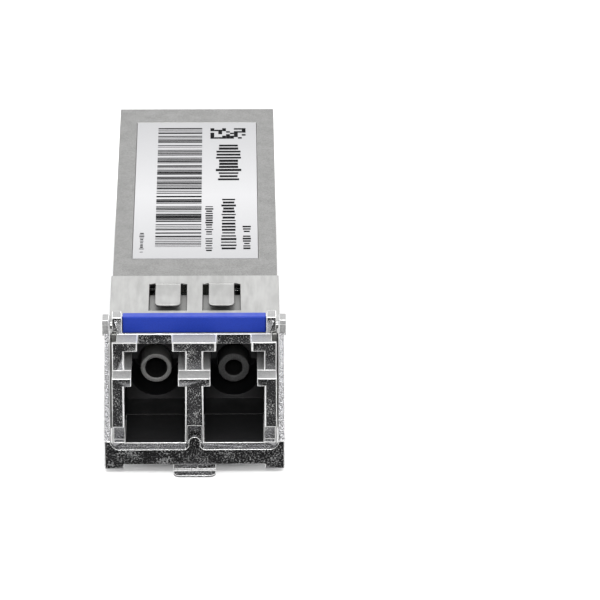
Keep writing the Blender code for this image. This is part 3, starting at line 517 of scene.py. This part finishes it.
def blockMesh(name, blocks, materials):
    work = bmesh.new()
    for low, high, index in blocks:
        made = bmesh.ops.create_cube(work, size=1.0)["verts"]
        size = Vector(high) - Vector(low)
        bmesh.ops.scale(work, vec=size, verts=made)
        bmesh.ops.translate(work, vec=(Vector(low) + Vector(high)) / 2, verts=made)
        edges = list({edge for vert in made for edge in vert.link_edges})
        for face in {face for vert in made for face in vert.link_faces}:
            face.material_index = index
        bmesh.ops.bevel(work, geom=edges, offset=min(size) * blockBevel["share"],
                        segments=blockBevel["steps"], affect="EDGES")
    mesh = bpy.data.meshes.new(name)
    work.to_mesh(mesh)
    work.free()
    for material in materials:
        mesh.materials.append(material)
    piece = bpy.data.objects.new(name, mesh)
    bpy.context.scene.collection.objects.link(piece)
    return piece


capacitorSetup = {"count": 6, "endCap": 0.22 * mm, "bodyInset": 0.02 * mm, "bodyFrom": 0.9}
for number in range(1, capacitorSetup["count"] + 1):      # fired body between two tinned ends
    low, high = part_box(f"capacitor_{number}")
    cap, inset = capacitorSetup["endCap"], capacitorSetup["bodyInset"]
    start = cap * capacitorSetup["bodyFrom"]
    blocks = [((low.x + start, low.y + inset, low.z), (high.x - start, high.y - inset, high.z - inset), 0),
              (low, (low.x + cap, high.y, high.z), 1), ((high.x - cap, low.y, low.z), high, 1)]
    take(blockMesh(f"capacitor{number}", blocks, (finish["ceramic"], finish["tin"])),
         f"capacitor_{number}")

bodyInset = 0.14 * mm
leadsPerSide = {"laser_driver": 4, "receive_amplifier": 4, "controller_chip": 6, "memory_chip": 4}
for node in leadsPerSide:                 # moulded body, inside the outline that its leads reach
    low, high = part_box(node)
    inward = Vector((bodyInset, bodyInset, 0))
    blocks = [(low + inward, high - inward, 0)]
    take(blockMesh(node.replace("_", "") + "Body", blocks, (finish["epoxy"],)), node)
print("board pieces ready")


def rowTree():                            # a row of small blocks, random in length, width and presence
    tree = bpy.data.node_groups.new("blockRow", "GeometryNodeTree")
    face = tree.interface
    for name, kind in (("Count", "Int"), ("Step", "Vector"), ("Size Low", "Vector"), ("Size High", "Vector"),
                       ("Share", "Float"), ("Seed", "Int"), ("Finish", "Material")):
        face.new_socket(name, in_out="INPUT", socket_type="NodeSocket" + kind)
    face.new_socket("Geometry", in_out="OUTPUT", socket_type="NodeSocketGeometry")
    nodes, links = tree.nodes, tree.links
    given, result = nodes.new("NodeGroupInput"), nodes.new("NodeGroupOutput")
    line = nodes.new("GeometryNodeMeshLine")
    line.mode = "OFFSET"
    links.new(given.outputs["Count"], line.inputs["Count"])
    links.new(given.outputs["Step"], line.inputs["Offset"])
    points = nodes.new("GeometryNodeInstanceOnPoints")
    cube = nodes.new("GeometryNodeMeshCube")
    links.new(line.outputs["Mesh"], points.inputs["Points"])
    links.new(cube.outputs["Mesh"], points.inputs["Instance"])
    size = nodes.new("FunctionNodeRandomValue")
    size.data_type = "FLOAT_VECTOR"
    links.new(given.outputs["Size Low"], size.inputs[0])
    links.new(given.outputs["Size High"], size.inputs[1])
    links.new(given.outputs["Seed"], size.inputs["Seed"])
    links.new(size.outputs[0], points.inputs["Scale"])
    chosen = nodes.new("FunctionNodeRandomValue")
    chosen.data_type = "BOOLEAN"
    links.new(given.outputs["Share"], chosen.inputs["Probability"])
    links.new(given.outputs["Seed"], chosen.inputs["Seed"])
    links.new(chosen.outputs[3], points.inputs["Selection"])
    real, paint = nodes.new("GeometryNodeRealizeInstances"), nodes.new("GeometryNodeSetMaterial")
    links.new(points.outputs["Instances"], real.inputs["Geometry"])
    links.new(real.outputs["Geometry"], paint.inputs["Geometry"])
    links.new(given.outputs["Finish"], paint.inputs["Material"])
    links.new(paint.outputs["Geometry"], result.inputs["Geometry"])
    return tree


blockRow = rowTree()


def layRow(start, count, step, low, high, share, seed, material):
    mesh = bpy.data.meshes.new("row")
    row = bpy.data.objects.new("row", mesh)
    bpy.context.scene.collection.objects.link(row)
    modifier = row.modifiers.new("blockRow", "NODES")
    modifier.node_group = blockRow
    values = {"Count": count, "Step": step, "Size Low": low, "Size High": high, "Share": share,
              "Seed": seed, "Finish": material}
    for item in blockRow.interface.items_tree:
        if item.in_out == "INPUT":
            value = values[item.name]
            modifier[item.identifier] = [v * mm for v in value] if isinstance(value, tuple) else value
    bakeModifiers(row)
    row.data.transform(Matrix.Translation(Vector(start) * mm + toNatural))
    return row


def joined(name, rows, material):         # one plain mesh of several rows
    work = bmesh.new()
    for row in rows:
        work.from_mesh(row.data)
        bpy.data.objects.remove(row)
    for made in work.faces:
        made.material_index = 0
    mesh = bpy.data.meshes.new(name)
    work.to_mesh(mesh)
    work.free()
    mesh.materials.append(material)
    piece = bpy.data.objects.new(name, mesh)
    bpy.context.scene.collection.objects.link(piece)
    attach(piece, "housing")
    return piece


# the label's print and the rows after it are in millimetres
printSetup = {"height": 8.501, "ink": 0.008, "seed": 21, "seedStep": 7}
barSetup = {"count": 74, "step": 0.35, "middleX": -1.43, "firstY": 17.4, "length": 3.81, "thin": 0.06,
            "thick": 0.34, "share": 0.80}
squareSetup = {"columns": 9, "rows": 7, "step": 0.34, "firstX": 1.35, "firstY": 40.8, "least": 0.33,
               "most": 0.335, "share": 0.6, "seedShift": 60}
columns = [                               # middle X, first Y, count, step, width range, length range, share
    (2.75, 17.0, 17, 0.64, (0.9, 1.35), (0.22, 0.46), 0.95),
    (1.12, 16.6, 20, 0.48, (0.45, 0.7), (0.16, 0.36), 0.85),
    (4.25, 17.0, 10, 0.50, (0.45, 0.75), (0.18, 0.38), 0.9),
    (-4.45, 16.3, 13, 0.32, (0.2, 0.42), (0.10, 0.24), 0.85),
    (2.75, 31.6, 12, 0.68, (1.5, 2.2), (0.28, 0.55), 0.95)]
ink, tall, z = finish["ink"], printSetup["ink"], printSetup["height"]
bars = [layRow((barSetup["middleX"], barSetup["firstY"], z), barSetup["count"], (0, barSetup["step"], 0),
               (barSetup["length"], barSetup["thin"], tall), (barSetup["length"], barSetup["thick"], tall),
               barSetup["share"], printSetup["seed"], ink)]
texts = [layRow((x, y, z), count, (0, step, 0), (wide[0], deep[0], tall), (wide[1], deep[1], tall), share,
                printSetup["seed"] + printSetup["seedStep"] * index, ink)
         for index, (x, y, count, step, wide, deep, share) in enumerate(columns, start=1)]
least, most, gap = squareSetup["least"], squareSetup["most"], squareSetup["step"]
squares = [layRow((squareSetup["firstX"] + gap * column, squareSetup["firstY"], z), squareSetup["rows"],
                  (0, gap, 0), (least, least, tall), (most, most, tall), squareSetup["share"],
                  printSetup["seed"] + squareSetup["seedShift"] + column, ink)
           for column in range(squareSetup["columns"])]
joined("labelBars", bars, ink)
joined("labelColumns", texts, ink)
joined("labelSquares", squares, ink)
print("label print ready")

padSetup = {"count": 10, "pitch": 0.8, "width": 0.55, "length": 3.4, "middleY": 42.2, "thick": 0.03,
            "heights": (3.255, 2.245), "seed": 3}
halfRow = (padSetup["count"] - 1) * padSetup["pitch"] / 2
padSize = (padSetup["width"], padSetup["length"], padSetup["thick"])
pads = [layRow((-halfRow, padSetup["middleY"], height), padSetup["count"], (padSetup["pitch"], 0, 0),
               padSize, padSize, 1.0, padSetup["seed"], finish["gold"]) for height in padSetup["heights"]]
joined("edgeContacts", pads, finish["gold"])

leadSetup = {"inset": 0.1, "margin": 0.35, "rise": 0.06, "size": (0.22, 0.24, 0.12), "seed": 5}
leads = []
for node, perSide in leadsPerSide.items():       # lead ends stand out from under each body
    low, high = [(corner - toNatural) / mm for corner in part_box(node)]
    step = (high.y - low.y - 2 * leadSetup["margin"]) / (perSide - 1)
    for x in (low.x + leadSetup["inset"], high.x - leadSetup["inset"]):
        start = (x, low.y + leadSetup["margin"], low.z + leadSetup["rise"])
        leads.append(layRow(start, perSide, (0, step, 0), leadSetup["size"], leadSetup["size"], 1.0,
                            leadSetup["seed"], finish["tin"]))
joined("chipLeads", leads, finish["tin"])
print("contacts and leads ready")

carriedOver = {"transmit_flex": "polyimidePaintedShade", "receive_flex": "polyimidePaintedShade",
               "transmit_fibre_stub": "zirconia", "receive_lens": "glass"}
for node, finishName in carriedOver.items():
    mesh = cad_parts[node].data
    mesh.materials.clear()
    mesh.materials.append(finish[finishName])
